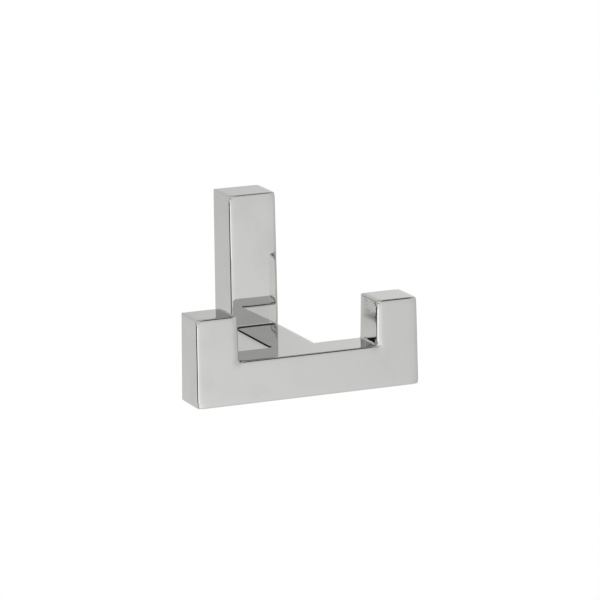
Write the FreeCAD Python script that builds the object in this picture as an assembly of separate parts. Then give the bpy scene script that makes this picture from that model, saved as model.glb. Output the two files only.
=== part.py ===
"""Double robe hook: a cast square-bar hook, the folded bracket it hangs on and the screw that locks it.

Millimetres and degrees. X is to the right, Y points into the wall and Z is up. The origin is on the
wall, at half the height of the upright.
"""

import math
import os

import FreeCAD, Part

# Front bar, a U seen from the front
bar_length = 86.9  # end to end, at the underside
bar_height = 16.0  # underside to the seat between the upturned ends
bar_depth = 16.5  # front to back, at the underside
upturn_width = 16.25  # of each upturned end, at the seat
upturn_rise = 16.75  # of each upturned end above the seat

# Web that joins the front bar to the upright
web_length = 34.35  # at the seat, from the bar at its underside to the upright

# Upright that stands against the wall
upright_width = 18.8  # at the seat
upright_depth = 17.0  # at the seat
upright_height = 65.8

# Casting draft, every face leaning in towards the top
end_draft = 0.5  # outer ends of the front bar
notch_draft = 1.0  # facing sides of the upturned ends
bar_face_draft = 1.0  # front and back of the front bar
side_draft = 0.25  # sides of the upright and of the web
upright_face_draft = 0.75  # front of the upright

# Polished edges
edge_radius = 0.6
root_radius = 0.3

# Pocket in the back of the upright
side_wall = 3.1
foot_wall = 6.0  # below the pocket, at the wall
head_wall = 10.97  # above the highest point of the pocket
pocket_slope = 30.0  # of its head and foot, rising away from the wall
pocket_corner_radius = 1.0

# Bracket, a strip folded at both ends
strip_thickness = 2.0
bend_radius = 1.0  # inside
lip_reach = 6.3  # outer face of each lip, from the wall
lower_lip_angle = 45.0  # below level, as steep as the screw's cone
hole_radius = 2.25
hole_to_bend = 5.0
lip_corner_radius = 1.5

# Locking screw, with a hexagon socket and a 90 degree cone point
screw_radius = 2.0
screw_length = 10.0
screw_setback = 4.4  # axis from the wall
screw_point_radius = 0.3
screw_chamfer = 0.3
screw_mouth_chamfer = 0.4  # of its hole in the underside
socket_width = 2.0  # across flats
socket_depth = 2.2

# Clearances
bracket_side_gap = 0.3
bracket_front_gap = 0.7
bracket_foot_gap = 0.72
screw_radial_gap = 0.08
screw_point_gap = 0.03

# Places worked out from the sizes
underside = -upright_height / 2
upright_top = upright_height / 2
seat = underside + bar_height
upturn_top = seat + upturn_rise
upright_front = -upright_depth
bar_back = upright_front - web_length
bar_front = bar_back - bar_depth
pocket_depth = lip_reach + strip_thickness + bracket_front_gap
pocket_width = upright_width - 2 * side_wall
pocket_rise = pocket_depth * math.tan(math.radians(pocket_slope))
pocket_head = upright_top - head_wall - pocket_rise
pocket_foot = underside + foot_wall
bend_outer_radius = bend_radius + strip_thickness
upper_turn = 90.0 - pocket_slope
lower_turn = 90.0 - lower_lip_angle
strip_width = pocket_width - 2 * bracket_side_gap

OVERSHOOT = 1.0  # of a cutting solid beyond the face it cuts
TOUCHING = 1e-6  # distance below which points count as one
SMOOTH_LIMIT = 0.2  # difference of two unit normals, below which faces count as flowing together
PROBE = 0.02  # how far beside an edge a point is tested for being in the solid


def slope_of(angle):
    """Sideways run for each millimetre along a line that leans by the angle."""
    return math.tan(math.radians(angle))


def in_xz(x, z):
    """Point of the X-Z plane."""
    return FreeCAD.Vector(x, 0, z)


def in_yz(y, z):
    """Point of the Y-Z plane."""
    return FreeCAD.Vector(0, y, z)


def closed_face(points):
    """Flat face inside a closed outline of straight edges."""
    return Part.Face(Part.makePolygon(points + points[:1]))


def along_x(face, half_width):
    """Solid of a Y-Z face, drawn out equally to the left and right."""
    start = face.translated(FreeCAD.Vector(-half_width, 0, 0))
    return start.extrude(FreeCAD.Vector(2 * half_width, 0, 0))


def along_y(face, front, back):
    """Solid of an X-Z face, drawn out from the front plane to the back plane."""
    start = face.translated(FreeCAD.Vector(0, front, 0))
    return start.extrude(FreeCAD.Vector(0, back - front, 0))


def upright_half_width(z):
    """Half the width of the upright and the web at a height."""
    return upright_width / 2 - (z - seat) * slope_of(side_draft)


def tapered_column(top, front, back):
    """Solid between the drafted sides, from the underside up to a level top."""
    low, high = upright_half_width(underside), upright_half_width(top)
    outline = [in_xz(-low, underside), in_xz(low, underside), in_xz(high, top), in_xz(-high, top)]
    return along_y(closed_face(outline), front, back)


def front_bar():
    """U-shaped bar with drafted ends, notch and faces."""
    half = bar_length / 2
    half_top = half - (upturn_top - underside) * slope_of(end_draft)
    notch = half - bar_height * slope_of(end_draft) - upturn_width
    notch_top = notch + upturn_rise * slope_of(notch_draft)
    right_side = [(half, underside), (half_top, upturn_top), (notch_top, upturn_top), (notch, seat)]
    left_side = [(-x, z) for x, z in reversed(right_side)]
    outline = [in_xz(x, z) for x, z in right_side + left_side]
    lean = (upturn_top - underside) * slope_of(bar_face_draft)
    section = [
        in_yz(bar_front, underside),
        in_yz(bar_back, underside),
        in_yz(bar_back - lean, upturn_top),
        in_yz(bar_front + lean, upturn_top),
    ]
    shape = along_y(closed_face(outline), bar_front - OVERSHOOT, bar_back + OVERSHOOT)
    return shape.common(along_x(closed_face(section), half + OVERSHOOT))


def upright():
    """Post with a vertical back against the wall, drafted sides and a drafted front."""
    lean_foot = bar_height * slope_of(upright_face_draft)
    lean_top = (upright_top - seat) * slope_of(upright_face_draft)
    section = [
        in_yz(upright_front - lean_foot, underside),
        in_yz(0, underside),
        in_yz(0, upright_top),
        in_yz(upright_front + lean_top, upright_top),
    ]
    column = tapered_column(upright_top, upright_front - lean_foot - OVERSHOOT, 0)
    return column.common(along_x(closed_face(section), upright_width))


def web():
    """Level arm, flush with the seat and with the sides of the upright."""
    return tapered_column(seat, bar_back - bar_depth / 2, upright_front + upright_depth / 2)


def normal_at(face, point):
    """Outward direction of a face at a point on it."""
    return face.normalAt(*face.Surface.parameter(point))


def corners(shape, outside):
    """Edges where two faces meet at an angle, as outside or as inside corners."""
    found = []
    for edge in shape.Edges:
        middle = edge.valueAt((edge.FirstParameter + edge.LastParameter) / 2)
        faces = shape.ancestorsOfType(edge, Part.Face)
        across = normal_at(faces[0], middle) - normal_at(faces[-1], middle)
        is_sharp = across.Length > SMOOTH_LIMIT
        beside = middle + across * PROBE
        if is_sharp and outside != shape.isInside(beside, TOUCHING, False):
            found.append(edge)
    return found


def with_soft_edges(shape):
    """Shape with its inside corners filled and its outside corners polished round."""
    filled = shape.makeFillet(root_radius, corners(shape, outside=False))
    return filled.makeFillet(edge_radius, corners(filled, outside=True))


def pocket():
    """Slanted hollow behind the upright, its inner corners rounded as the core leaves them."""
    past_wall = OVERSHOOT * slope_of(pocket_slope)
    section = [
        in_yz(OVERSHOOT, pocket_foot - past_wall),
        in_yz(OVERSHOOT, pocket_head - past_wall),
        in_yz(-pocket_depth, pocket_head + pocket_rise),
        in_yz(-pocket_depth, pocket_foot + pocket_rise),
    ]
    solid = along_x(closed_face(section), pocket_width / 2)
    inner = [edge for edge in solid.Edges if edge.BoundBox.YMax < -pocket_depth + TOUCHING]
    return solid.makeFillet(pocket_corner_radius, inner)


def screw_hole():
    """Hole for the locking screw, from the underside into the pocket."""
    radius = screw_radius + screw_radial_gap
    entry = FreeCAD.Vector(0, -screw_setback, underside)
    shaft = Part.makeCylinder(radius, foot_wall + pocket_rise, entry)
    mouth = Part.makeCone(radius + screw_mouth_chamfer, radius, screw_mouth_chamfer, entry)
    return shaft.fuse(mouth)


def hook_body():
    """The one-piece casting with its pocket and screw hole."""
    casting = with_soft_edges(front_bar().fuse([web(), upright()]).removeSplitter())
    return casting.cut([pocket(), screw_hole()])


def upper_corner():
    """Height at the wall where the planes of the flat and of the upper lip cross."""
    return pocket_head


def lower_corner():
    """Height at the wall where the planes of the flat and of the lower lip cross."""
    lip_room = lip_reach * (slope_of(lower_lip_angle) + slope_of(pocket_slope))
    return pocket_foot + bracket_foot_gap + lip_room


def lip_end(height, angle):
    """Outer and inner point of a lip's end, for a lip at an angle above (or below) level."""
    rise = lip_reach * slope_of(angle)
    lean = math.radians(abs(angle))
    outer = (-lip_reach, height + rise)
    across = -math.copysign(strip_thickness * math.cos(lean), angle)
    return outer, (outer[0] - strip_thickness * math.sin(lean), outer[1] + across)


def edges_across(strip, depth):
    """Edges that run from side to side of the strip at one depth."""
    found = []
    for edge in strip.Edges:
        box = edge.BoundBox
        if box.XLength > strip_width / 2 and max(abs(box.YMin - depth), abs(box.YMax - depth)) < TOUCHING:
            found.append(edge)
    return found


def folded_strip():
    """Flat on the wall with a lip folded out at each end, the upper one along the pocket's head."""
    upper_outer, upper_inner = lip_end(upper_corner(), pocket_slope)
    lower_outer, lower_inner = lip_end(lower_corner(), -lower_lip_angle)
    profile = [
        (0, lower_corner()),
        (0, upper_corner()),
        upper_outer,
        upper_inner,
        (-strip_thickness, upper_corner() - strip_thickness * slope_of(upper_turn / 2)),
        (-strip_thickness, lower_corner() + strip_thickness * slope_of(lower_turn / 2)),
        lower_inner,
        lower_outer,
    ]
    strip = along_x(closed_face([in_yz(y, z) for y, z in profile]), strip_width / 2)
    strip = strip.makeFillet(bend_outer_radius, edges_across(strip, 0))
    return strip.makeFillet(bend_radius, edges_across(strip, -strip_thickness))


def wall_bracket():
    """Folded strip with two holes for wall screws and rounded lip corners."""
    strip = folded_strip()
    ends = [
        edge
        for edge in strip.Edges
        if edge.BoundBox.YMax < -lip_reach + TOUCHING and edge.BoundBox.XLength < TOUCHING
    ]
    strip = strip.makeFillet(lip_corner_radius, ends)
    lower_bend = lower_corner() + bend_outer_radius * slope_of(lower_turn / 2)
    upper_bend = upper_corner() - bend_outer_radius * slope_of(upper_turn / 2)
    for height in (lower_bend + hole_to_bend, upper_bend - hole_to_bend):
        start = FreeCAD.Vector(0, -strip_thickness - OVERSHOOT, height)
        length = strip_thickness + 2 * OVERSHOOT
        strip = strip.cut(Part.makeCylinder(hole_radius, length, start, FreeCAD.Vector(0, 1, 0)))
    return strip


def screw_tip_height():
    """Height of the sharp tip of the cone, whose flank lies along the lower lip."""
    return lower_corner() - screw_setback * slope_of(lower_lip_angle) - screw_point_gap


def set_screw():
    """Headless screw, turned to its profile, with a hexagon socket in its lower end."""
    sharp_tip = screw_tip_height()
    tip = sharp_tip - screw_point_radius
    foot = tip - screw_length
    profile = [
        in_xz(0, foot),
        in_xz(screw_radius - screw_chamfer, foot),
        in_xz(screw_radius, foot + screw_chamfer),
        in_xz(screw_radius, sharp_tip - screw_radius),
        in_xz(screw_point_radius, tip),
        in_xz(0, tip),
    ]
    axis = FreeCAD.Vector(0, 0, 1)
    blank = closed_face(profile).revolve(FreeCAD.Vector(0, 0, 0), axis, 360)
    corner = socket_width / math.sqrt(3)
    hexagon = [
        FreeCAD.Vector(corner * math.cos(turn), corner * math.sin(turn), foot - OVERSHOOT)
        for turn in (math.radians(60 * step) for step in range(6))
    ]
    socket = closed_face(hexagon).extrude(FreeCAD.Vector(0, 0, OVERSHOOT + socket_depth))
    drill_point = Part.makeCone(
        socket_width / 2, 0, socket_width / 4, FreeCAD.Vector(0, 0, foot + socket_depth)
    )
    screw = blank.cut(socket.fuse(drill_point))
    return screw.translated(FreeCAD.Vector(0, -screw_setback, 0))


def main():
    """Write each piece to a STEP file of its own."""
    os.makedirs("parts", exist_ok=True)
    pieces = {"hook_body": hook_body(), "wall_bracket": wall_bracket(), "set_screw": set_screw()}
    for name, shape in pieces.items():
        shape.exportStep(f"parts/{name}.step")


main()
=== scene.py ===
"""Looks of the double robe hook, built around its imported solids.

Fields of a piece are in millimetres and degrees, as a maker gives them. Everything handed to Blender is
in metres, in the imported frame: X to the right, Y into the wall, Z up.
"""

import logging
import math
from collections.abc import Callable
from dataclasses import dataclass
from typing import Any, Union

import bmesh
import bpy
import numpy as np
from bpy.types import Material, Mesh, Node, NodeSocket, NodeTree, Object, World
from mathutils import Matrix, Vector


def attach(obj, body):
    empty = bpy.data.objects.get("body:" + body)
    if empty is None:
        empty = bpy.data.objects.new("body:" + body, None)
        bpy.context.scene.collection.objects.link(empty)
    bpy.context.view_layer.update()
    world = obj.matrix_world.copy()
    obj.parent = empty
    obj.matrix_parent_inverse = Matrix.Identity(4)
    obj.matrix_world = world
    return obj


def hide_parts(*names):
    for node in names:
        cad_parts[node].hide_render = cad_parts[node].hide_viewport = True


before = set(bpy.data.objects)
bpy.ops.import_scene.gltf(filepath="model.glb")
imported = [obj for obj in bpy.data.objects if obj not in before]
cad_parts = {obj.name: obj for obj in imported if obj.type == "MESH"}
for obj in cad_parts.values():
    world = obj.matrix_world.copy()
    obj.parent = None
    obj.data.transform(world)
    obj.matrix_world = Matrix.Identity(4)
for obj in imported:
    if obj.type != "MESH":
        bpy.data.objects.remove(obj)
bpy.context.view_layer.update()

Pair = tuple[float, float]
Triple = tuple[float, float, float]
Term = Union["Socket", float]

MM = 0.001
WELD = 0.001 * MM
SHARP_ANGLE = math.radians(30.0)
ROUND_STEPS = 48
CUT_PAST = 1.0
ORIGIN = (0.0, 0.0, 0.0)
BODY = "root"
IMAGE_SIDE = 600
SENSOR_WIDTH = 36.0

log = logging.getLogger("robe_hook")


def slope(angle: float) -> float:
    """Sideways run for each millimetre along a line that leans by an angle in degrees."""
    return math.tan(math.radians(angle))


def fade(gap: np.ndarray, reach: float) -> np.ndarray:
    """1 where there is no gap, falling evenly to 0 at a reach."""
    return np.clip(1.0 - gap / reach, 0.0, 1.0)


def blend(start: Term, end: Term, share: Term) -> Term:
    """Value that lies a share of the way from a start to an end."""
    return start + (end - start) * share


def math_node(operation: str, swapped: bool = False) -> Callable[..., "Socket"]:
    """Method of Socket that adds one Math node.

    Args:
        operation: the Math node's operation.
        swapped: whether the socket comes last, as in 1 - socket.

    Returns:
        The method, which takes the node's other terms.
    """

    def apply(socket: "Socket", *others: Term) -> "Socket":
        """Value of the operation."""
        terms = [*others, socket] if swapped else [socket, *others]
        return socket.graph.value("ShaderNodeMath", terms, operation=operation)

    return apply


@dataclass(frozen=True)
class Socket:
    """Number that a node gives out, to be used in Python expressions."""

    graph: "Graph"
    link: NodeSocket

    __add__ = math_node("ADD")
    __radd__ = math_node("ADD", swapped=True)
    __sub__ = math_node("SUBTRACT")
    __rsub__ = math_node("SUBTRACT", swapped=True)
    __mul__ = math_node("MULTIPLY")
    __rmul__ = math_node("MULTIPLY", swapped=True)
    __truediv__ = math_node("DIVIDE")
    __abs__ = math_node("ABSOLUTE")
    above = math_node("GREATER_THAN")
    at_least = math_node("MAXIMUM")
    at_most = math_node("MINIMUM")
    fraction = math_node("FRACT")
    sine = math_node("SINE")
    cosine = math_node("COSINE")
    arc_sine = math_node("ARCSINE")
    # Angle in radians of the point whose rise is this value and whose run is the other one.
    angle_to = math_node("ARCTAN2")

    def within(self, low: Term, high: Term) -> "Socket":
        """The value, held between two limits."""
        return self.at_least(low).at_most(high)

    def ramp(self, low: float, high: float) -> "Socket":
        """Smooth step.

        Args:
            low: value at which the step starts from 0.
            high: value at which it reaches 1.

        Returns:
            The step, from 0 to 1.
        """
        terms = [self, low, high, 0.0, 1.0]
        return self.graph.value("ShaderNodeMapRange", terms, interpolation_type="SMOOTHSTEP")


@dataclass
class Graph:
    """Node tree with one method that makes any node."""

    tree: NodeTree

    def node(self, kind: str, inputs: "list | dict" = (), **settings: Any) -> Node:
        """Add a node.

        Args:
            kind: the node's type.
            inputs: values or links, by socket number in a list or by name in a dict. A list of links
                goes into one socket that takes several.
            settings: its properties, which are set first.

        Returns:
            The new node.
        """
        made = self.tree.nodes.new(kind)
        for name, value in settings.items():
            setattr(made, name, value)
        pairs = inputs.items() if isinstance(inputs, dict) else enumerate(inputs)
        for key, value in pairs:
            for item in value if isinstance(value, list) else [value]:
                if isinstance(item, Socket):
                    self.tree.links.new(item.link, made.inputs[key])
                else:
                    made.inputs[key].default_value = item
        return made

    def value(
        self, kind: str, inputs: "list | dict" = (), output: "int | str" = 0, **settings: Any
    ) -> Socket:
        """Add a node and take one of its outputs.

        Args:
            kind: the node's type.
            inputs: values or links of its sockets.
            output: number or name of the output that is wanted.
            settings: its properties.

        Returns:
            That output.
        """
        return Socket(self, self.node(kind, inputs, **settings).outputs[output])

    def axes(self, point: Socket) -> tuple[Socket, Socket, Socket]:
        """X, Y and Z of a point."""
        split = self.node("ShaderNodeSeparateXYZ", [point])
        return tuple(Socket(self, output) for output in split.outputs)

    def bump(self, height: Socket, strength: float = 1.0) -> Socket:
        """Normal of a surface that stands out by a height in metres."""
        inputs = {"Strength": strength, "Distance": 1.0, "Height": height}
        return self.value("ShaderNodeBump", inputs)

    def colour(self, share: Socket, first: tuple, second: tuple) -> Socket:
        """Mix of two colours.

        Args:
            share: how much of the second colour there is.
            first: linear red, green and blue.
            second: linear red, green and blue.

        Returns:
            The mixed colour.
        """
        # Sockets 0, 6 and 7 are the share and the two colours, and output 2 is their mix.
        inputs = {0: share, 6: (*first, 1.0), 7: (*second, 1.0)}
        return self.value("ShaderNodeMix", inputs, output=2, data_type="RGBA")


class ShapeTool(Graph):
    """Geometry Nodes tree that makes one piece from named sizes."""

    def __init__(self, name: str, sizes: dict[str, float]) -> None:
        """Start a tree.

        Args:
            name: the piece's name.
            sizes: its sizes in millimetres, which become the tree's inputs.
        """
        super().__init__(bpy.data.node_groups.new(name, "GeometryNodeTree"))
        self.name = name
        face = self.tree.interface
        face.new_socket("Geometry", in_out="INPUT", socket_type="NodeSocketGeometry")
        face.new_socket("Geometry", in_out="OUTPUT", socket_type="NodeSocketGeometry")
        self.settings = {}
        for size, value in sizes.items():
            socket = face.new_socket(size, in_out="INPUT", socket_type="NodeSocketFloat")
            self.settings[socket.identifier] = value * MM
        self.source = self.node("NodeGroupInput")

    def __getitem__(self, name: str) -> Socket:
        """One of the named inputs, in metres; "Geometry" is the mesh that the tree starts from."""
        return Socket(self, self.source.outputs[name])

    def point(self, x: Term, y: Term, z: Term) -> Socket:
        """Vector of three lengths in metres."""
        return self.value("ShaderNodeCombineXYZ", [x, y, z])

    def stored(self, name: str) -> Socket:
        """Number that the starting mesh keeps at each of its points."""
        return self.value("GeometryNodeInputNamedAttribute", {"Name": name}, data_type="FLOAT")

    def moved(self, geometry: Socket, shift: Socket | Triple = ORIGIN, turn: Triple = ORIGIN) -> Socket:
        """Shape in another place.

        Args:
            geometry: the shape.
            shift: how far it goes, in metres.
            turn: its turn in radians, about the origin and before the shift.

        Returns:
            The moved shape.
        """
        inputs = {"Geometry": geometry, "Translation": shift, "Rotation": turn}
        return self.value("GeometryNodeTransform", inputs)

    def merged(self, geometry: Socket) -> Socket:
        """Shape with the points that lie on each other made one."""
        inputs = {"Geometry": geometry, "Distance": WELD}
        return self.value("GeometryNodeMergeByDistance", inputs)

    def cone(self, foot: Term, top: Term, depth: Term, start: Term = 0.0) -> Socket:
        """Round plug on the upright axis.

        Args:
            foot: its radius at its lower end.
            top: its radius at its upper end.
            depth: its height.
            start: height of its lower end.

        Returns:
            The plug.
        """
        inputs = {"Vertices": ROUND_STEPS, "Radius Bottom": foot, "Radius Top": top, "Depth": depth}
        plug = self.value("GeometryNodeMeshCone", inputs)
        return self.moved(plug, self.point(0.0, 0.0, start))

    def cut(self, geometry: Socket, cutters: list[Socket]) -> Socket:
        """Shape without the space that its cutters take up."""
        inputs = {"Mesh 1": geometry, "Mesh 2": cutters}
        return self.value("GeometryNodeMeshBoolean", inputs, operation="DIFFERENCE", solver="EXACT")

    def run(self, start: Mesh, geometry: Socket, material: Material) -> Mesh:
        """Close the tree, run it once and keep what it makes.

        Args:
            start: the mesh that the tree starts from.
            geometry: the finished shape.
            material: what the whole shape is made of.

        Returns:
            A plain mesh.
        """
        plain = self.value("GeometryNodeRealizeInstances", [self.merged(geometry)])
        coated = self.value("GeometryNodeSetMaterial", {"Geometry": plain, "Material": material})
        self.node("NodeGroupOutput", {"Geometry": coated})
        piece = linked(start.name, start)
        tool = piece.modifiers.new(self.name, "NODES")
        tool.node_group = self.tree
        for identifier, value in self.settings.items():
            tool[identifier] = value
        return dressed(baked(piece, self.name), material)


def inputs_of(piece: object, *fields: str) -> dict[str, float]:
    """Sizes of a piece under the names of its tree's inputs, such as Strip Width for strip_width."""
    return {name.replace("_", " ").title(): getattr(piece, name) for name in fields}


def linked(name: str, data: Any) -> Object:
    """New object in the scene, at the origin."""
    made = bpy.data.objects.new(name, data)
    bpy.context.scene.collection.objects.link(made)
    return made


def baked(piece: Object, name: str) -> Mesh:
    """Plain mesh of an object with its modifiers, which then leaves the scene.

    Args:
        piece: an object with live modifiers.
        name: name of the new mesh.

    Returns:
        The mesh that the modifiers give.
    """
    graph = bpy.context.evaluated_depsgraph_get()
    mesh = bpy.data.meshes.new_from_object(piece.evaluated_get(graph))
    mesh.name = name
    bpy.data.objects.remove(piece)
    return mesh


def closed(shell: bmesh.types.BMesh, name: str) -> Mesh:
    """Mesh of a closed shell, with its faces pointing outwards.

    Args:
        shell: the shell, which is used up.
        name: name of the new mesh.

    Returns:
        The mesh.
    """
    bmesh.ops.recalc_face_normals(shell, faces=shell.faces)
    mesh = bpy.data.meshes.new(name)
    shell.to_mesh(mesh)
    shell.free()
    return mesh


def dressed(mesh: Mesh, *materials: Material) -> Mesh:
    """Give a mesh its materials and smooth faces that stay crisp at their sharp edges.

    Args:
        mesh: the mesh, which is changed.
        materials: its materials, the first of which covers it.

    Returns:
        The same mesh.
    """
    mesh.materials.clear()
    for material in materials:
        mesh.materials.append(material)
    for face in mesh.polygons:
        face.use_smooth = True
        face.material_index = 0
    mesh.set_sharp_from_angle(angle=SHARP_ANGLE)
    return mesh


def cleared(owner: Material | World) -> Graph:
    """Empty node tree of a new material or world."""
    owner.use_nodes = True
    owner.node_tree.nodes.clear()
    return Graph(owner.node_tree)


@dataclass(frozen=True)
class Layer:
    """Noise in a surface; a stretch under 1 draws its features out along that axis."""

    feature: float
    detail: float
    stretch: Triple = (1.0, 1.0, 1.0)

    def read(self, graph: Graph, place: Socket) -> Socket:
        """Value of the noise.

        Args:
            graph: the material's nodes.
            place: the point where it is read.

        Returns:
            A number between 0 and 1.
        """
        scaled = graph.value("ShaderNodeVectorMath", [place, self.stretch], operation="MULTIPLY")
        inputs = {"Vector": scaled, "Scale": 1.0 / (self.feature * MM), "Detail": self.detail}
        return graph.value("ShaderNodeTexNoise", inputs)


@dataclass(frozen=True)
class Finish:
    """Metal surface: what every finish of the hook shares."""

    name: str

    def material(self) -> Material:
        """Build the material.

        Returns:
            A material whose surface this finish's own nodes describe.
        """
        made = bpy.data.materials.new(self.name)
        graph = cleared(made)
        place = graph.value("ShaderNodeTexCoord", output="Object")
        shader = graph.value("ShaderNodeBsdfPrincipled", self.surface(graph, place))
        graph.node("ShaderNodeOutputMaterial", {"Surface": shader})
        return made

    def surface(self, graph: Graph, place: Socket) -> dict[str, Any]:
        """Inputs of the shader; each finish gives its own."""
        raise NotImplementedError


@dataclass(frozen=True)
class PolishedChrome(Finish):
    """Mirror-bright chrome over a hand-polished casting."""

    name: str = "polished_chrome"
    tone: Triple = (0.62, 0.62, 0.61)
    haze_tone: Triple = (0.585, 0.587, 0.58)
    edge_tint: float = 0.85
    roughness: float = 0.02
    haze: Layer = Layer(14.0, 4.0)
    haze_range: Pair = (0.45, 0.75)
    haze_roughness: float = 0.025
    notch_roughness: float = 0.12
    notch_walls: tuple[Pair, ...] = ((26.2, 27.5), (-65.9, -53.1), (-11.9, 0.5))
    notch_fade: float = 0.4
    wave: Layer = Layer(9.0, 1.0)
    wave_height: float = 0.006
    lines: Layer = Layer(0.35, 2.0, (0.08, 1.0, 1.0))
    line_height: float = 0.00003

    def surface(self, graph: Graph, place: Socket) -> dict[str, Any]:
        """Mirror with a faint buffing haze, more of it inside the notch, a slow wave and fine lines.

        Args:
            graph: the material's nodes.
            place: the point on the piece.

        Returns:
            Inputs of the shader.
        """
        haze = self.haze.read(graph, place).ramp(*self.haze_range)
        x, y, z = graph.axes(place)
        walls: Term = 1.0
        for value, ends in zip((abs(x), y, z), self.notch_walls):
            low, high = (
                value.ramp((end - self.notch_fade) * MM, (end + self.notch_fade) * MM) for end in ends
            )
            walls = low * (1.0 - high) * walls
        waves = self.wave.read(graph, place) * (self.wave_height * MM)
        lines = self.lines.read(graph, place) * (self.line_height * MM)
        return {
            "Base Color": graph.colour(haze, self.tone, self.haze_tone),
            "Metallic": 1.0,
            "Roughness": self.roughness + haze * self.haze_roughness + walls * self.notch_roughness,
            "Specular Tint": (self.edge_tint,) * 3 + (1.0,),
            "Normal": graph.bump(waves + lines),
        }


@dataclass(frozen=True)
class GrainedMetal(Finish):
    """Duller metal: its colour follows a cloud and its relief a grain.

    Its roughness follows the cloud, the cloud ramped over its range and the grain, each by a share.
    """

    tone: Triple
    shade: Triple
    cloud: Layer
    cloud_range: Pair
    grain: Layer
    grain_height: float
    relief: float
    roughness: float
    roughness_shares: Triple

    def surface(self, graph: Graph, place: Socket) -> dict[str, Any]:
        """Clouded colour and gloss over a fine relief.

        Args:
            graph: the material's nodes.
            place: the point on the piece.

        Returns:
            Inputs of the shader.
        """
        cloud, grain = self.cloud.read(graph, place), self.grain.read(graph, place)
        shade = cloud.ramp(*self.cloud_range)
        roughness: Term = self.roughness
        for value, share in zip((cloud, shade, grain), self.roughness_shares):
            roughness = roughness + value * share
        return {
            "Base Color": graph.colour(shade, self.tone, self.shade),
            "Metallic": 1.0,
            "Roughness": roughness,
            "Normal": graph.bump(grain * (self.grain_height * MM), self.relief),
        }


# Thin dull plating on the unpolished inside of the casting.
CAST_PLATE = GrainedMetal(
    name="dull_plate_inside",
    tone=(0.2, 0.2, 0.2),
    shade=(0.12, 0.12, 0.115),
    cloud=Layer(3.0, 5.0),
    cloud_range=(0.3, 0.7),
    grain=Layer(0.25, 3.0),
    grain_height=0.02,
    relief=0.6,
    roughness=0.38,
    roughness_shares=(0.2, 0.0, 0.0),
)

# Bright zinc on rolled strip, with lines along it and clouded by its passivation.
ZINC_PLATE = GrainedMetal(
    name="zinc_plate",
    tone=(0.56, 0.575, 0.59),
    shade=(0.47, 0.475, 0.46),
    cloud=Layer(5.0, 4.0),
    cloud_range=(0.35, 0.7),
    grain=Layer(0.22, 3.0, (1.0, 0.04, 0.04)),
    grain_height=0.008,
    relief=0.5,
    roughness=0.26,
    roughness_shares=(0.0, 0.1, 0.08),
)

# Stainless bar with the fine rings that turning leaves.
TURNED_STAINLESS = GrainedMetal(
    name="turned_stainless",
    tone=(0.4, 0.39, 0.375),
    shade=(0.28, 0.275, 0.265),
    cloud=Layer(0.12, 2.0, (0.05, 0.05, 1.0)),
    cloud_range=(0.35, 0.65),
    grain=Layer(0.12, 2.0, (0.05, 0.05, 1.0)),
    grain_height=0.006,
    relief=0.5,
    roughness=0.24,
    roughness_shares=(0.0, 0.0, 0.15),
)


def finished(mesh: Mesh, name: str, node: str) -> None:
    """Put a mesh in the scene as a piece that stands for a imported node.

    Args:
        mesh: the piece's mesh, in place and in metres.
        name: the piece's name.
        node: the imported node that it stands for.
    """
    piece = linked(name, mesh)
    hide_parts(node)
    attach(piece, BODY)
    log.info("%s: %d faces", name, len(mesh.polygons))


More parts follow.
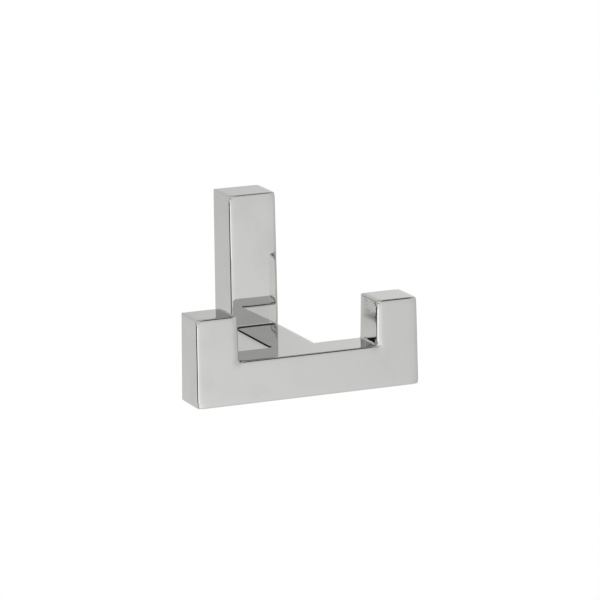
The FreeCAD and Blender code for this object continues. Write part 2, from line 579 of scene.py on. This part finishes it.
@dataclass
class Casting:
    """The one-piece hook: upright, web and front bar with both ends turned up."""

    bar_length: float = 86.9
    bar_height: float = 16.0
    bar_depth: float = 16.5
    upturn_width: float = 16.25
    upturn_rise: float = 16.75
    web_length: float = 34.35
    upright_width: float = 18.8
    upright_depth: float = 17.0
    upright_height: float = 65.8
    end_draft: float = 0.5
    notch_draft: float = 1.0
    bar_face_draft: float = 1.0
    side_draft: float = 0.25
    upright_face_draft: float = 0.75
    outer_round: Pair = (1.1, 3.2)
    notch_round: Pair = (2.5, 4.6)
    web_round: Pair = (2.0, 4.0)
    top_round: Triple = (0.6, 3.2, 8.0)
    above_tips: Pair = (6.0, 12.0)
    inner_round: Pair = (0.6, 2.5)
    subdivisions: int = 2
    crown: float = 0.045
    crown_reach: float = 5.0
    crown_fall: int = 3
    corner_wear: float = 0.15
    corner_reach: float = 2.6
    corner_fall: int = 2
    wall_facing: float = 0.5
    side_wall: float = 3.1
    foot_wall: float = 6.0
    head_wall: float = 10.97
    pocket_slope: float = 30.0
    pocket_depth: float = 9.0
    pocket_round: float = 1.0
    pocket_steps: int = 5
    hole_radius: float = 2.08
    hole_mouth: float = 0.4
    hole_setback: float = 4.4
    slack: float = 0.05

    def __post_init__(self) -> None:
        """Work out the sizes that several faces share."""
        self.underside = -self.upright_height / 2
        self.top = self.upright_height / 2
        self.seat = self.underside + self.bar_height
        self.upturn_top = self.seat + self.upturn_rise
        self.pocket_half = self.upright_width / 2 - self.side_wall
        self.pocket_foot = self.underside + self.foot_wall
        self.pocket_rise = self.pocket_depth * slope(self.pocket_slope)

    def across(self, z: float) -> Triple:
        """Distance from the middle to the web's side, the notch's side and the bar's end.

        Args:
            z: height.

        Returns:
            The three distances.
        """
        web = self.upright_width / 2 - (z - self.seat) * slope(self.side_draft)
        end = self.bar_length / 2 - (z - self.underside) * slope(self.end_draft)
        foot = self.bar_length / 2 - self.bar_height * slope(self.end_draft) - self.upturn_width
        return web, foot + (z - self.seat) * slope(self.notch_draft), end

    def along(self, z: float) -> Triple:
        """Place in depth of the upright's front, the bar's back and the bar's front.

        Args:
            z: height.

        Returns:
            The three places, all in front of the wall.
        """
        front = -self.upright_depth + (z - self.seat) * slope(self.upright_face_draft)
        lean = (z - self.underside) * slope(self.bar_face_draft)
        back_at_foot = -self.upright_depth - self.web_length
        return front, back_at_foot - lean, back_at_foot - self.bar_depth + lean

    @staticmethod
    def rungs(corners: list[float], holds: list[tuple]) -> list[float]:
        """Lines of the cage: those through its corners, and others that keep the corners crisp.

        Args:
            corners: places of the corner lines, in order.
            holds: for each gap between two of them, how far the other lines are from either.

        Returns:
            Places of all the lines, in order.
        """
        sign = math.copysign(1.0, corners[-1] - corners[0])
        lines = corners[:1]
        for start, end, (after, before) in zip(corners, corners[1:], holds):
            lines += [start + sign * gap for gap in after] + [(start + end) / 2]
            lines += [end - sign * gap for gap in reversed(before)] + [end]
        return lines

    def lines(self, z: float) -> tuple[list[float], list[float]]:
        """Lines of the cage at a height, across and in depth.

        Args:
            z: height.

        Returns:
            Places across, from left to right, and places in depth, from the wall to the front.
        """
        outer, inner = self.outer_round, self.inner_round
        beside_web = self.web_round if z <= self.seat else outer
        half = self.rungs(
            [0.0, *self.across(z)], [((), beside_web), (inner, inner), (self.notch_round, outer)]
        )
        # The middle of the web's half has no line.
        del half[1]
        depths = self.rungs([0.0, *self.along(z)], [(outer, outer), (inner, inner), (outer, outer)])
        return [-x for x in reversed(half[1:])] + half, depths

    def levels(self) -> list[float]:
        """Heights of the cage's lines, from the underside up."""
        outer, inner = self.outer_round, self.inner_round
        holds = [(outer, outer), (inner, outer), (self.above_tips, self.top_round)]
        return self.rungs([self.underside, self.seat, self.upturn_top, self.top], holds)

    def is_solid(self, point: Triple) -> bool:
        """Whether a point is in the metal.

        Args:
            point: its place in millimetres.

        Returns:
            True inside the upright, the web or the bar.
        """
        x, y, z = point
        web, notch, end = self.across(z)
        front, bar_back, bar_front = self.along(z)
        if not self.underside < z < self.top or not bar_front < y < 0.0 or abs(x) > end:
            return False
        if y > front:
            return abs(x) < web
        if y > bar_back:
            return abs(x) < web and z < self.seat
        return z < self.seat or (z < self.upturn_top and abs(x) > notch)

    def cage(self) -> Mesh:
        """Coarse hull of the casting, one quad for each cage cell's open side.

        Returns:
            A closed mesh with sharp corners, in metres.
        """
        levels = self.levels()
        rows = [self.lines(z) for z in levels]
        shape = (len(rows[0][0]) - 1, len(rows[0][1]) - 1, len(levels) - 1)
        filled = np.zeros([count + 2 for count in shape], bool)
        for i, j, k in np.ndindex(*shape):
            z = (levels[k] + levels[k + 1]) / 2
            xs, ys = self.lines(z)
            middle = ((xs[i] + xs[i + 1]) / 2, (ys[j] + ys[j + 1]) / 2, z)
            filled[i + 1, j + 1, k + 1] = self.is_solid(middle)
        sides = [(axis, side) for axis in range(3) for side in (0, 1)]
        square = ((0, 0), (1, 0), (1, 1), (0, 1))
        corners: dict[tuple, int] = {}
        faces = []
        for cell in zip(*np.nonzero(filled)):
            for axis, side in sides:
                beside = list(cell)
                beside[axis] += 2 * side - 1
                if filled[tuple(beside)]:
                    continue
                shifts = [(*pair[:axis], side, *pair[axis:]) for pair in square]
                ring = [tuple(int(c) - 1 + step for c, step in zip(cell, shift)) for shift in shifts]
                faces.append([corners.setdefault(point, len(corners)) for point in ring])
        hull = bmesh.new()
        points = [
            hull.verts.new((rows[k][0][i] * MM, rows[k][1][j] * MM, levels[k] * MM))
            for i, j, k in corners
        ]
        for ring in faces:
            hull.faces.new([points[n] for n in ring])
        return closed(hull, "casting_cage")

    def ridges(self) -> list[tuple[np.ndarray, np.ndarray]]:
        """Outer edges, which polishing wears down a little.

        Returns:
            The two ends of each edge, in millimetres.
        """
        web, notch, end = range(3)
        wall, face, back, front = range(4)
        floor, seat, tip, top = self.underside, self.seat, self.upturn_top, self.top
        mirror = np.array((-1.0, 1.0, 1.0))

        def corner(x: int, y: int, z: float) -> np.ndarray:
            """Corner of the right half, by its place across and in depth."""
            return np.array((self.across(z)[x], (0.0, *self.along(z))[y], z))

        chains = [
            [(end, front, floor), (end, front, tip), (notch, front, tip), (notch, front, seat)],
            [
                (web, wall, floor),
                (web, back, floor),
                (end, back, floor),
                (end, back, tip),
                (notch, back, tip),
                (notch, back, seat),
                (web, back, seat),
                (web, face, seat),
                (web, face, top),
                (web, wall, top),
            ],
            *([(x, back, z), (x, front, z)] for x, z in ((end, floor), (end, tip), (notch, tip))),
        ]
        middle = [corner(end, front, floor), corner(notch, front, seat), corner(web, face, top)]
        edges = [(point * mirror, point) for point in middle]
        for chain in chains:
            points = [corner(*place) for place in chain]
            for pair in zip(points, points[1:]):
                edges += [pair, (pair[0] * mirror, pair[1] * mirror)]
        return edges

    def wear(self, mesh: Mesh) -> None:
        """Lower the faces towards their outer edges, as buffing does.

        Args:
            mesh: the smooth casting, which is changed.
        """
        points, normals = (np.empty(3 * len(mesh.vertices)) for _ in range(2))
        mesh.vertices.foreach_get("co", points)
        mesh.vertices.foreach_get("normal", normals)
        points, normals = points.reshape(-1, 3) / MM, normals.reshape(-1, 3)
        drop = np.zeros(len(points))
        for start, end in self.ridges():
            line = end - start
            share = np.clip((points - start) @ line / (line @ line), 0.0, 1.0)
            gap = np.linalg.norm(points - start - share[:, None] * line, axis=1)
            drop += self.crown * fade(gap, self.crown_reach) ** self.crown_fall
            # Three edges meet in a corner, so each brings a third of its wear.
            for tip in (start, end):
                gap = np.linalg.norm(points - tip, axis=1)
                drop += self.corner_wear / 3 * fade(gap, self.corner_reach) ** self.corner_fall
        drop *= normals[:, 1] < self.wall_facing
        moved = (points - normals * drop[:, None]) * MM
        mesh.vertices.foreach_set("co", moved.ravel())
        mesh.update()

    def pocket(self) -> Mesh:
        """Cutter of the slanted hollow in the back, with its inner corners rounded.

        Returns:
            A closed mesh in metres.
        """
        rise, past = self.pocket_rise, CUT_PAST * slope(self.pocket_slope)
        foot, head = self.pocket_foot, self.top - self.head_wall - self.pocket_rise
        depth = self.pocket_depth
        low = [(CUT_PAST, foot - past), (CUT_PAST, head - past)]
        section = low + [(-depth, head + rise), (-depth, foot + rise)]
        cutter = bmesh.new()
        left, right = (
            [cutter.verts.new((x * MM, y * MM, z * MM)) for y, z in section]
            for x in (-self.pocket_half, self.pocket_half)
        )
        cutter.faces.new(left)
        cutter.faces.new(right)
        for n in range(len(section)):
            cutter.faces.new((left[n], left[n - 1], right[n - 1], right[n]))
        bmesh.ops.recalc_face_normals(cutter, faces=cutter.faces)
        inner = [e for e in cutter.edges if max(v.co.y for v in e.verts) < -depth * MM / 2]
        bmesh.ops.bevel(
            cutter,
            geom=inner,
            offset=self.pocket_round * MM,
            segments=self.pocket_steps,
            profile=0.5,
            affect="EDGES",
        )
        return closed(cutter, "pocket_cutter")

    def hole(self) -> Mesh:
        """Cutter of the locking screw's hole, with its chamfered mouth.

        Returns:
            A closed mesh in metres.
        """
        foot, radius = self.underside, self.hole_radius
        upper = self.pocket_foot + self.pocket_rise
        profile = [
            (0.0, foot - CUT_PAST),
            (radius + self.hole_mouth + CUT_PAST, foot - CUT_PAST),
            (radius, foot + self.hole_mouth),
            (radius, upper),
            (0.0, upper),
        ]
        cutter = bmesh.new()
        centre = Vector((0.0, -self.hole_setback, 0.0)) * MM
        points = [cutter.verts.new(centre + Vector((r, 0.0, z)) * MM) for r, z in profile]
        edges = [cutter.edges.new(pair) for pair in zip(points, points[1:])]
        bmesh.ops.spin(
            cutter,
            geom=points + edges,
            cent=centre,
            axis=(0.0, 0.0, 1.0),
            angle=math.tau,
            steps=ROUND_STEPS,
            use_duplicate=False,
        )
        bmesh.ops.remove_doubles(cutter, verts=cutter.verts, dist=WELD)
        return closed(cutter, "hole_cutter")

    def mesh(self, bright: Material, dull: Material) -> Mesh:
        """Smooth, worn casting with its pocket and hole.

        Args:
            bright: material of the polished outside.
            dull: material of the inside.

        Returns:
            The finished mesh.
        """
        hull = linked("casting_hull", self.cage())
        smooth = hull.modifiers.new("round", "SUBSURF")
        smooth.levels = smooth.render_levels = self.subdivisions
        worn = baked(hull, "casting_smooth")
        self.wear(worn)
        body = linked("casting_body", worn)
        cutters = [linked(shell.name, shell) for shell in (self.pocket(), self.hole())]
        for cutter in cutters:
            cut = body.modifiers.new(cutter.name, "BOOLEAN")
            cut.operation = "DIFFERENCE"
            cut.solver = "EXACT"
            cut.object = cutter
        mesh = dressed(baked(body, "polished_casting"), bright, dull)
        for cutter in cutters:
            bpy.data.objects.remove(cutter)
        for face in mesh.polygons:
            face.material_index = int(self.is_inside(face.center / MM))
        return mesh

    def is_inside(self, centre: Vector) -> bool:
        """Whether a face is in the pocket or in the screw's hole.

        Args:
            centre: its centre in millimetres.

        Returns:
            True for a face that the polisher doesn't reach.
        """
        x, y, z = centre
        slack = self.slack
        in_pocket = abs(x) < self.pocket_half + slack and -self.pocket_depth - slack < y < -slack
        in_height = self.underside + self.foot_wall / 2 < z < self.top - self.head_wall + 2 * slack
        in_hole = math.hypot(x, y + self.hole_setback) < self.hole_radius + slack
        in_foot = self.underside + slack < z < self.seat
        return (in_pocket and in_height) or (in_hole and in_foot)


@dataclass
class WallBracket:
    """Strip that is screwed to the wall, folded out at each end to carry the casting."""

    strip_width: float = 12.0
    thickness: float = 2.0
    bend_radius: float = 1.0
    fold_steps: int = 8
    lip_reach: float = 6.3
    upper_corner: float = 16.733848
    lower_corner: float = -16.242694
    upper_lean: float = 30.0
    lower_lean: float = -45.0
    lip_round: float = 1.5
    lip_steps: int = 8
    hole_radius: float = 2.25
    hole_chamfer: float = 0.2
    hole_to_bend: float = 5.0
    edge_break: float = 0.15
    edge_steps: int = 3

    @staticmethod
    def mitre(lean: float) -> float:
        """Run from a fold's corner to its tangent, for each millimetre of radius."""
        return slope((90.0 - abs(lean)) / 2)

    def hole_heights(self) -> Pair:
        """Heights of the lower and the upper screw hole."""
        outer = self.bend_radius + self.thickness
        lower = self.lower_corner + outer * self.mitre(self.lower_lean) + self.hole_to_bend
        upper = self.upper_corner - outer * self.mitre(self.upper_lean) - self.hole_to_bend
        return lower, upper

    def lip(self, corner: float, lean: float) -> list[tuple[float, float, float, float]]:
        """Stations along the middle of one lip, from its fold to its free end.

        Args:
            corner: height at the wall where the outer faces of the flat and the lip cross.
            lean: angle of the lip above level.

        Returns:
            Depth and height of each station, and the strip's half width and thickness there as
            shares of the full ones.
        """
        half, wide = self.thickness / 2, self.strip_width / 2
        way = math.copysign(1.0, lean)
        length = self.lip_reach / math.cos(math.radians(lean)) - half * self.mitre(lean)
        trimmed = 1.0 - self.edge_break / half
        marks = [(0.0, 1.0, 1.0)]
        for step in range(self.lip_steps + 1):
            turn = math.radians(90.0 * step / self.lip_steps)
            back = self.edge_break + self.lip_round * (1.0 - math.sin(turn))
            inset = self.lip_round * (1.0 - math.cos(turn))
            marks.append((length - back, 1.0 - inset / wide, 1.0))
        last = (wide - self.lip_round - self.edge_break) / (wide * trimmed)
        marks.append((length, last, trimmed))
        fold = corner - way * half * self.mitre(lean)
        run, rise = -math.cos(math.radians(lean)), math.sin(math.radians(lean))
        return [(-half + along * run, fold + along * rise, *shares) for along, *shares in marks]

    def route(self) -> Mesh:
        """Middle line of the strip as a chain of edges.

        Returns:
            A mesh that lies in its own X-Y plane and keeps width, thickness and fold radius.
        """
        lower = self.lip(self.lower_corner, self.lower_lean)
        upper = self.lip(self.upper_corner, self.upper_lean)
        stations = lower[::-1] + upper
        mesh = bpy.data.meshes.new("bracket_route")
        links = [(n, n + 1) for n in range(len(stations) - 1)]
        mesh.from_pydata([(y * MM, z * MM, 0.0) for y, z, _, _ in stations], links, [])
        folds = [0.0] * len(stations)
        folds[len(lower) - 1] = folds[len(lower)] = (self.bend_radius + self.thickness / 2) * MM
        columns = {
            "width_share": [station[2] for station in stations],
            "thickness_share": [station[3] for station in stations],
            "fold_radius": folds,
        }
        for name, values in columns.items():
            mesh.attributes.new(name, "FLOAT", "POINT").data.foreach_set("value", values)
        return mesh

    def mesh(self, material: Material) -> Mesh:
        """Strip drawn along its route, trimmed at its lips and punched for the wall screws.

        Args:
            material: what it is made of.

        Returns:
            The finished mesh.
        """
        lower, upper = self.hole_heights()
        sizes = inputs_of(self, "strip_width", "thickness", "edge_break", "hole_radius", "hole_chamfer")
        sizes |= {"Hole Height": lower, "Hole Spacing": upper - lower}
        tool = ShapeTool("folded_bracket", sizes)
        line = tool.value("GeometryNodeMeshToCurve", [tool["Geometry"]])
        fillet = {"Curve": line, "Count": self.fold_steps, "Radius": tool.stored("fold_radius")}
        folded = tool.value("GeometryNodeFilletCurve", fillet, mode="POLY")
        upright = tool.value("GeometryNodeSetCurveNormal", [folded], mode="Z_UP")
        corners = {"Width": tool["Thickness"], "Height": tool["Strip Width"]}
        section = tool.value("GeometryNodeCurvePrimitiveQuadrilateral", corners, mode="RECTANGLE")
        fillet = {"Curve": section, "Count": self.edge_steps, "Radius": tool["Edge Break"]}
        softened = tool.value("GeometryNodeFilletCurve", fillet, mode="POLY")
        sweep = {
            "Curve": upright,
            "Profile Curve": softened,
            "Scale": tool.stored("thickness_share"),
            "Fill Caps": True,
        }
        strip = tool.value("GeometryNodeCurveToMesh", sweep)
        x, y, z = tool.axes(tool.value("GeometryNodeInputPosition"))
        narrowed = {"Geometry": strip, "Position": tool.point(x, y, z * tool.stored("width_share"))}
        trimmed = tool.value("GeometryNodeSetPosition", narrowed)
        stood = tool.moved(trimmed, turn=(math.pi / 2, 0.0, math.pi / 2))
        return tool.run(self.route(), tool.cut(stood, self.punches(tool)), material)

    @staticmethod
    def punches(tool: ShapeTool) -> list[Socket]:
        """Cutters of the two screw holes and of the chamfers at both their ends.

        Args:
            tool: the bracket's tree.

        Returns:
            The cutters, in place, each a pair.
        """
        radius, thickness, past = tool["Hole Radius"], tool["Thickness"], CUT_PAST * MM
        mouth, throat = radius + tool["Hole Chamfer"] + past, radius * 0.5
        places = {
            "Count": 2,
            "Start Location": tool.point(0.0, thickness * -1.0, tool["Hole Height"]),
            "Offset": tool.point(0.0, 0.0, tool["Hole Spacing"]),
        }
        row = tool.value("GeometryNodeMeshLine", places)
        cutters = []
        for foot, top, depth, start in (
            (radius, radius, thickness + 4 * past, -2 * past),
            (mouth, throat, mouth - throat, -past),
            (throat, mouth, mouth - throat, thickness + past - (mouth - throat)),
        ):
            plug = tool.cone(foot, top, depth, start)
            level = tool.moved(plug, turn=(-math.pi / 2, 0.0, 0.0))
            pair = tool.value("GeometryNodeInstanceOnPoints", {"Points": row, "Instance": level})
            cutters.append(tool.value("GeometryNodeRealizeInstances", [pair]))
        return cutters


@dataclass
class LockingScrew:
    """Headless screw with a rolled thread, a hexagon socket in its foot and a cone point."""

    radius: float = 2.0
    length: float = 10.0
    foot: float = -30.972694
    setback: float = 4.4
    pitch: float = 0.7
    thread_depth: float = 0.43
    crest_share: float = 0.125
    root_share: float = 0.125
    point_radius: float = 0.3
    chamfer: float = 0.3
    socket_width: float = 2.0
    socket_depth: float = 2.2
    socket_chamfer: float = 0.12
    rows_per_turn: int = 8
    columns: int = 60
    spare_turns: int = 4
    overrun: float = 1.2
    drill_share: float = 0.49
    drill_lift: float = 0.02
    throat_share: float = 0.45

    def thread(self, tool: ShapeTool) -> Socket:
        """Threaded bar, longer than the screw at both ends, that stands on the origin.

        Args:
            tool: the screw's tree.

        Returns:
            A closed bar whose rows follow the thread.
        """
        pitch, length = tool["Pitch"], tool["Length"]
        turns = math.ceil(self.length / self.pitch) + self.spare_turns
        cells = {"Vertices X": self.columns + 1, "Vertices Y": turns * self.rows_per_turn + 1}
        # The sheet is 1 by 1, about its own middle.
        sheet = tool.value("GeometryNodeMeshGrid", cells)
        x, y, _ = tool.axes(tool.value("GeometryNodeInputPosition"))
        round_share, along = x + 0.5, (y + 0.5) * turns
        phase = (along + 0.5 / self.rows_per_turn).fraction()
        flank = 0.5 - (self.root_share + self.crest_share) / 2
        rise = (abs(phase - 0.5) - self.root_share / 2) / flank
        outer = tool["Radius"] - tool["Thread Depth"] * (1.0 - rise.within(0.0, 1.0))
        height = (along + round_share - (self.spare_turns + 1) / 2) * pitch
        low, high = pitch * -self.overrun, length + pitch * self.overrun
        radius = outer * height.above(low) * (1.0 - height.above(high))
        angle = round_share * math.tau
        wound = tool.point(radius * angle.cosine(), radius * angle.sine(), height.within(low, high))
        bar = tool.value("GeometryNodeSetPosition", {"Geometry": sheet, "Position": wound})
        return tool.merged(bar)

    def mesh(self, material: Material) -> Mesh:
        """Threaded bar, turned at both ends and broached for its key.

        Args:
            material: what it is made of.

        Returns:
            The finished mesh.
        """
        cut = ("point_radius", "chamfer", "socket_width", "socket_depth", "socket_chamfer")
        sizes = inputs_of(self, "radius", "length", "pitch", "thread_depth", *cut)
        tool = ShapeTool("locking_screw", sizes)
        tip, foot = tool["Point Radius"], tool["Radius"] - tool["Chamfer"]
        reach = tool["Length"] + tool["Pitch"]
        point = tool.cone(tip + reach, tip, reach, tool["Pitch"] * -1.0)
        lead = tool.cone(foot, foot + reach, reach)
        parts = {"Mesh 2": [self.thread(tool), point, lead]}
        blank = tool.value("GeometryNodeMeshBoolean", parts, operation="INTERSECT", solver="EXACT")
        broached = tool.cut(blank, self.key_hole(tool))
        placed = tool.moved(broached, (0.0, -self.setback * MM, self.foot * MM))
        return tool.run(bpy.data.meshes.new("screw_start"), placed, material)

    def key_hole(self, tool: ShapeTool) -> list[Socket]:
        """Cutters of the hexagon socket, its drilled bottom and its countersunk mouth.

        Args:
            tool: the screw's tree.

        Returns:
            The three cutters.
        """
        width, depth, past = tool["Socket Width"], tool["Socket Depth"], CUT_PAST * MM
        corner = width / math.sqrt(3)
        prism = {"Vertices": 6, "Radius": corner, "Depth": depth + past}
        shaft = tool.value("GeometryNodeMeshCylinder", prism)
        hexagon = tool.moved(shaft, tool.point(0.0, 0.0, (depth - past) / 2))
        drill = width * self.drill_share
        drilled = tool.cone(drill, 0.0, drill / 2, depth - width * self.drill_lift)
        mouth, throat = corner + tool["Socket Chamfer"], width * self.throat_share
        sunk = tool.cone(mouth + past, throat, mouth - throat + past, -past)
        return [hexagon, drilled, sunk]


@dataclass(frozen=True)
class Card:
    """Soft-edged panel of the studio, given by where it stands as seen from the hook.

    Azimuth 0 is straight in front and 90 is to the right; every field but the level is in degrees.
    """

    azimuth: float
    elevation: float
    half_width: float
    half_height: float
    blur_across: float
    blur_up: float
    level: float

    def mask(self, across: Socket, ahead: Socket, height: Socket) -> Socket:
        """Share of a direction that this panel covers.

        Args:
            across: the direction's part to the right.
            ahead: its part away from the wall.
            height: its elevation in radians.

        Returns:
            1 on the panel and 0 beside it.
        """
        turn = math.radians(self.azimuth)
        sideways = across * math.cos(turn) - ahead * math.sin(turn)
        forwards = across * math.sin(turn) + ahead * math.cos(turn)
        shares = []
        for value, half, blur in (
            (sideways.angle_to(forwards), self.half_width, self.blur_across),
            (height - math.radians(self.elevation), self.half_height, self.blur_up),
        ):
            edge = (math.radians(half - blur), math.radians(half + blur))
            shares.append(1.0 - abs(value).ramp(*edge))
        return shares[0] * shares[1]


@dataclass
class Studio:
    """White surroundings, soft panels, floor and camera.

    The floor, the lamp and the camera's sight are in metres, and the camera's eye is in millimetres.
    """

    base_level: float = 0.78
    floor_drop: float = 1.0
    floor_side: float = 30.0
    floor_tone: float = 0.8
    key_power: float = 4.0
    key_size: Pair = (0.6, 0.8)
    key_place: Triple = (-0.7, -0.8, 0.5)
    sight: Pair = (0.05, 60.0)
    focal_pixels: float = 3911.0
    eye: Triple = (-536.89, -1331.13, 314.69)
    yaw: float = 22.899
    pitch: float = 12.787
    roll: float = -0.901
    cards: tuple[Card, ...] = (
        Card(-75, 28, 60, 22, 20, 10, 0.45),
        Card(-58, 50, 26, 14, 6, 5, 1.15),
        Card(-100, -27, 45, 17, 15, 6, 0.5),
        Card(92, -22, 32, 20, 15, 8, 0.56),
        Card(100, 30, 30, 18, 12, 8, 0.5),
        Card(30, -62, 90, 27, 15, 6, 0.92),
        Card(26, 31, 6, 11.2, 1, 0.5, 0.03),
        Card(40, 51, 13, 9.5, 2, 1, 0.03),
        Card(78, 64.5, 30, 4.5, 3, 1, 0.12),
        Card(152, 42, 16, 14, 4, 3, 0.28),
        Card(16.5, 20.5, 5, 3.5, 1, 0.5, 0.03),
        Card(9, 26.5, 12, 3.7, 1, 0.5, 0.03),
        Card(-108, -12, 43, 2.8, 2, 0.6, 0.05),
        Card(-4, -23, 26, 15, 9, 10, 1.22),
        Card(-47, -12, 19, 2.8, 3, 0.6, 2),
        Card(-24, -8, 12, 6, 2, 0.5, 1.42),
        Card(-24, 2, 9, 3.6, 2, 0.4, 0.04),
        Card(-20, 8.9, 17, 2.7, 3, 0.3, 2.1),
        Card(-20, 12.3, 17, 0.8, 3, 0.2, 1.35),
        Card(-23, 13.7, 9, 0.6, 2, 0.12, 0.02),
        Card(-20, 15.1, 17, 0.8, 3, 0.12, 1.35),
        Card(160, -14, 14, 18, 6, 6, 1.34),
        Card(140, 10, 16, 12, 5, 5, 1.12),
        Card(-158, -22, 14, 10, 4, 4, 0.9),
        Card(-160, 16, 14, 4, 2, 2, 0.6),
    )

    def world(self) -> None:
        """Surroundings that the plating mirrors, white where the camera looks past the hook."""
        made = bpy.data.worlds.new("studio")
        graph = cleared(made)
        towards = graph.value("ShaderNodeTexCoord", output="Generated")
        across, depth, up = graph.axes(towards)
        ahead, height = depth * -1.0, up.arc_sine()
        level: Term = self.base_level
        for card in self.cards:
            level = blend(level, card.level, card.mask(across, ahead, height))
        seen = graph.value("ShaderNodeLightPath", output="Is Camera Ray")
        light = graph.value("ShaderNodeBackground", {"Color": blend(level, 1.0, seen)})
        graph.node("ShaderNodeOutputWorld", {"Surface": light})
        bpy.context.scene.world = made

    def floor(self) -> None:
        """Pale floor well below the hook, white to the camera."""
        side, low = self.floor_side / 2, -self.floor_drop
        mesh = bpy.data.meshes.new("floor")
        corners = [(-side, -side, low), (side, -side, low), (side, side, low), (-side, side, low)]
        mesh.from_pydata(corners, [], [(0, 1, 2, 3)])
        plane = linked("floor", mesh)
        plane.visible_glossy = False
        paint = bpy.data.materials.new("floor_paint")
        graph = cleared(paint)
        seen = graph.value("ShaderNodeLightPath", output="Is Camera Ray")
        matt = graph.value("ShaderNodeBsdfDiffuse", {"Color": (self.floor_tone,) * 3 + (1.0,)})
        white = graph.value("ShaderNodeEmission", {"Strength": 1.0})
        mixed = graph.value("ShaderNodeMixShader", [seen, matt, white])
        graph.node("ShaderNodeOutputMaterial", {"Surface": mixed})
        mesh.materials.append(paint)

    def key_light(self) -> None:
        """Large soft lamp in front, on the left."""
        lamp = bpy.data.lights.new("key_light", "AREA")
        lamp.shape = "RECTANGLE"
        lamp.size, lamp.size_y = self.key_size
        lamp.energy = self.key_power
        stand = linked("key_light", lamp)
        stand.location = self.key_place
        stand.rotation_euler = (-stand.location).to_track_quat("-Z", "Y").to_euler()
        stand.visible_glossy = False

    def camera(self) -> None:
        """Camera at the photograph's angle."""
        yaw, pitch, roll = (math.radians(a) for a in (self.yaw, self.pitch, self.roll))
        turn = (
            Matrix.Rotation(-yaw, 4, "Z")
            @ Matrix.Rotation(math.pi / 2 - pitch, 4, "X")
            @ Matrix.Rotation(roll, 4, "Z")
        )
        lens = bpy.data.cameras.new("camera")
        lens.sensor_width = SENSOR_WIDTH
        lens.lens = self.focal_pixels / IMAGE_SIDE * SENSOR_WIDTH
        lens.clip_start, lens.clip_end = self.sight
        stand = linked("camera", lens)
        stand.matrix_world = Matrix.Translation(Vector(self.eye) * MM) @ turn
        bpy.context.scene.camera = stand

    def build(self) -> None:
        """Set up the surroundings, the floor, the lamp and the camera."""
        self.world()
        self.floor()
        self.key_light()
        self.camera()
        bpy.context.scene.view_settings.view_transform = "Standard"


def main() -> None:
    """Build the studio and every piece of the hook."""
    logging.basicConfig(level=logging.INFO, format="%(name)s %(message)s")
    Studio().build()
    casting = Casting().mesh(PolishedChrome().material(), CAST_PLATE.material())
    finished(casting, "polished_casting", "hook_body")
    bracket = WallBracket().mesh(ZINC_PLATE.material())
    finished(bracket, "folded_bracket", "wall_bracket")
    screw = LockingScrew().mesh(TURNED_STAINLESS.material())
    finished(screw, "threaded_set_screw", "set_screw")


if __name__ == "__main__":
    main()
